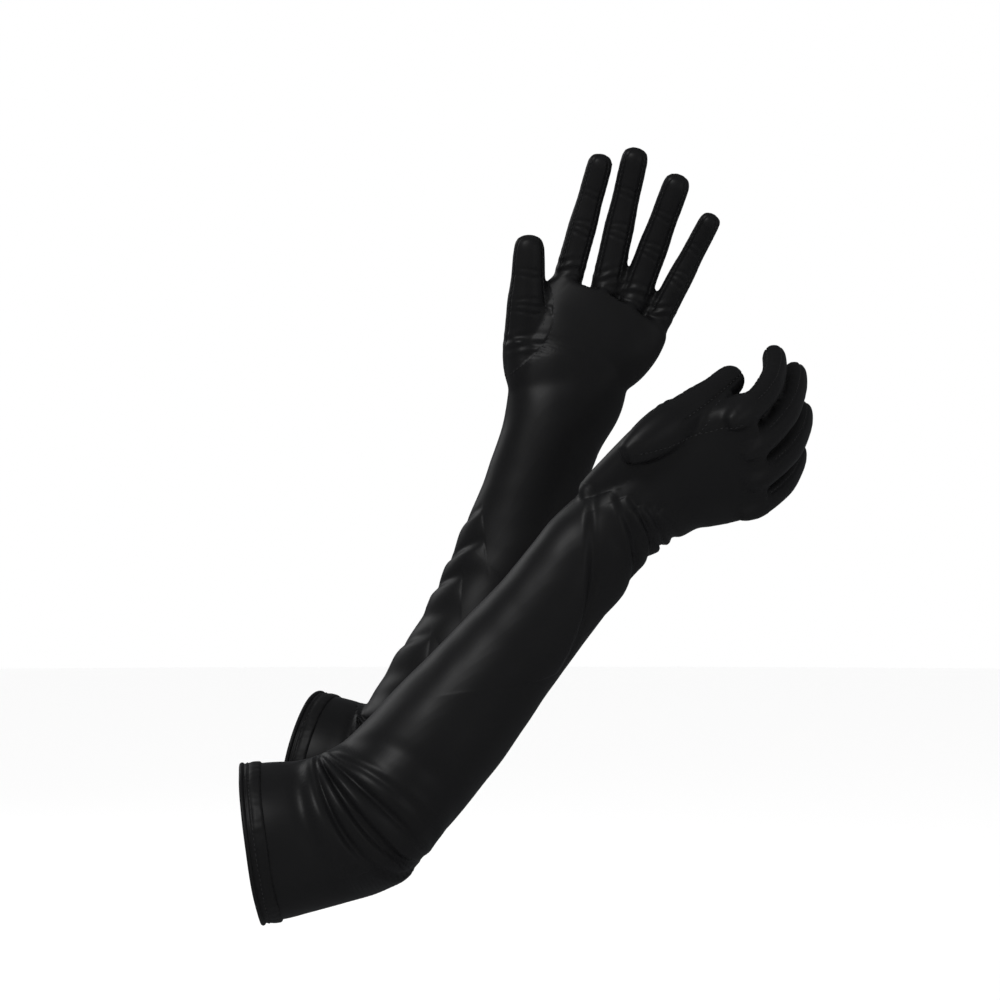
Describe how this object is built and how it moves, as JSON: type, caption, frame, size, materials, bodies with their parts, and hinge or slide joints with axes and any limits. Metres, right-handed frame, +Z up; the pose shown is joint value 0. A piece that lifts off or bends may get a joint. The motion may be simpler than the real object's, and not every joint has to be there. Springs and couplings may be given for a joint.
{
  "type": "opera gloves",
  "caption": "Above-elbow stretch-satin opera gloves held as worn, with bending elbows, wrists and fingers, hemmed arm openings, set-in thumbs and strips between the fingers.",
  "frame": {"origin": "centre of the right glove's arm opening, where the wearer's arm carries it", "axes": "+Z up with the gloves held as worn, +X from the elbows toward the hands, +Y from the right glove toward the left one behind it"},
  "size_m": [0.3441, 0.2416, 0.4599],
  "materials": {
    "satin": "stretch satin, soft sheen",
    "hem_satin": "folded and topstitched stretch satin",
    "fourchette_satin": "stretch satin, duller side"
  },
  "bodies": {
    "sleeves": {"right_cuff_hem": "hem_satin", "right_upper_sleeve": "satin", "right_elbow_section": "satin", "left_cuff_hem": "hem_satin", "left_upper_sleeve": "satin", "left_elbow_section": "satin"},
    "right_forearm": {"right_forearm_sleeve": "satin", "right_wrist_section": "satin"},
    "right_hand": {"right_hand": "satin", "right_knuckle_band": "satin", "right_thumb_collar": "satin", "right_fourchette_index_middle": "fourchette_satin", "right_fourchette_middle_ring": "fourchette_satin", "right_fourchette_ring_little": "fourchette_satin"},
    "right_thumb": {"right_thumb": "satin"},
    "right_index": {"right_index": "satin"},
    "right_middle": {"right_middle": "satin"},
    "right_ring": {"right_ring": "satin"},
    "right_little": {"right_little": "satin"},
    "left_forearm": {"left_forearm_sleeve": "satin", "left_wrist_section": "satin"},
    "left_hand": {"left_hand": "satin", "left_knuckle_band": "satin", "left_thumb_collar": "satin", "left_fourchette_index_middle": "fourchette_satin", "left_fourchette_middle_ring": "fourchette_satin", "left_fourchette_ring_little": "fourchette_satin"},
    "left_thumb": {"left_thumb": "satin"},
    "left_index": {"left_index": "satin"},
    "left_middle": {"left_middle": "satin"},
    "left_ring": {"left_ring": "satin"},
    "left_little": {"left_little": "satin"}
  },
  "joints": [
    {"name": "right_elbow", "type": "hinge", "parent": "sleeves", "child": "right_forearm", "pos_m": [0.06536, 0, 0.00919], "axis": [0, -1, 0], "range_deg": [-43, 41], "deforming": ["right_elbow_section"]},
    {"name": "right_wrist", "type": "hinge", "parent": "right_forearm", "child": "right_hand", "pos_m": [0.21765, 0, 0.19726], "axis": [-0.2531, -0.5736, 0.7791], "range_deg": [-50, 46], "deforming": ["right_wrist_section"]},
    {"name": "right_thumb_spread", "type": "hinge", "parent": "right_hand", "child": "right_thumb", "pos_m": [0.24443, -0.02122, 0.23782], "axis": [0.1772, -0.8192, -0.5455], "range_deg": [-4, 30], "deforming": ["right_thumb_collar"]},
    {"name": "right_index_flex", "type": "hinge", "parent": "right_hand", "child": "right_index", "pos_m": [0.29523, -0.01864, 0.25045], "axis": [-0.3189, -0.5722, 0.7556], "range_deg": [-44, 46], "deforming": ["right_knuckle_band", "right_fourchette_index_middle"]},
    {"name": "right_middle_flex", "type": "hinge", "parent": "right_hand", "child": "right_middle", "pos_m": [0.30357, -0.00574, 0.23378], "axis": [-0.2697, -0.5735, 0.7735], "range_deg": [-48, 42], "deforming": ["right_knuckle_band", "right_fourchette_index_middle", "right_fourchette_middle_ring"]},
    {"name": "right_ring_flex", "type": "hinge", "parent": "right_hand", "child": "right_ring", "pos_m": [0.30661, 0.00688, 0.21582], "axis": [-0.203, -0.5728, 0.7942], "range_deg": [-46, 44], "deforming": ["right_knuckle_band", "right_fourchette_middle_ring", "right_fourchette_ring_little"]},
    {"name": "right_little_flex", "type": "hinge", "parent": "right_hand", "child": "right_little", "pos_m": [0.30482, 0.01881, 0.19733], "axis": [-0.0841, -0.5649, 0.8209], "range_deg": [-42, 48], "deforming": ["right_knuckle_band", "right_fourchette_ring_little"]},
    {"name": "left_elbow", "type": "hinge", "parent": "sleeves", "child": "left_forearm", "pos_m": [0.08707, 0.13403, 0.02388], "axis": [-0.2274, -0.9685, 0.1012], "range_deg": [-76.4, 7.6], "deforming": ["left_elbow_section"]},
    {"name": "left_wrist", "type": "hinge", "parent": "left_forearm", "child": "left_hand", "pos_m": [0.1855, 0.13403, 0.24496], "axis": [0.9397, 0, -0.342], "range_deg": [-50, 50], "deforming": ["left_wrist_section"]},
    {"name": "left_thumb_spread", "type": "hinge", "parent": "left_hand", "child": "left_thumb", "pos_m": [0.16373, 0.13403, 0.29332], "axis": [0, -1, 0], "range_deg": [-4, 30], "deforming": ["left_thumb_collar"]},
    {"name": "left_index_flex", "type": "hinge", "parent": "left_hand", "child": "left_index", "pos_m": [0.18581, 0.13403, 0.34085], "axis": [0.9613, 0, -0.2756], "range_deg": [-16, 74], "deforming": ["left_knuckle_band", "left_fourchette_index_middle"]},
    {"name": "left_middle_flex", "type": "hinge", "parent": "left_hand", "child": "left_middle", "pos_m": [0.20791, 0.13403, 0.33577], "axis": [0.9744, 0, -0.225], "range_deg": [-16, 74], "deforming": ["left_knuckle_band", "left_fourchette_index_middle", "left_fourchette_middle_ring"]},
    {"name": "left_ring_flex", "type": "hinge", "parent": "left_hand", "child": "left_ring", "pos_m": [0.22767, 0.13403, 0.32574], "axis": [0.9397, 0, -0.342], "range_deg": [-18, 72], "deforming": ["left_knuckle_band", "left_fourchette_middle_ring", "left_fourchette_ring_little"]},
    {"name": "left_little_flex", "type": "hinge", "parent": "left_hand", "child": "left_little", "pos_m": [0.24468, 0.13403, 0.31166], "axis": [0.8829, 0, -0.4695], "range_deg": [-18, 72], "deforming": ["left_knuckle_band", "left_fourchette_ring_little"]}
  ]
}
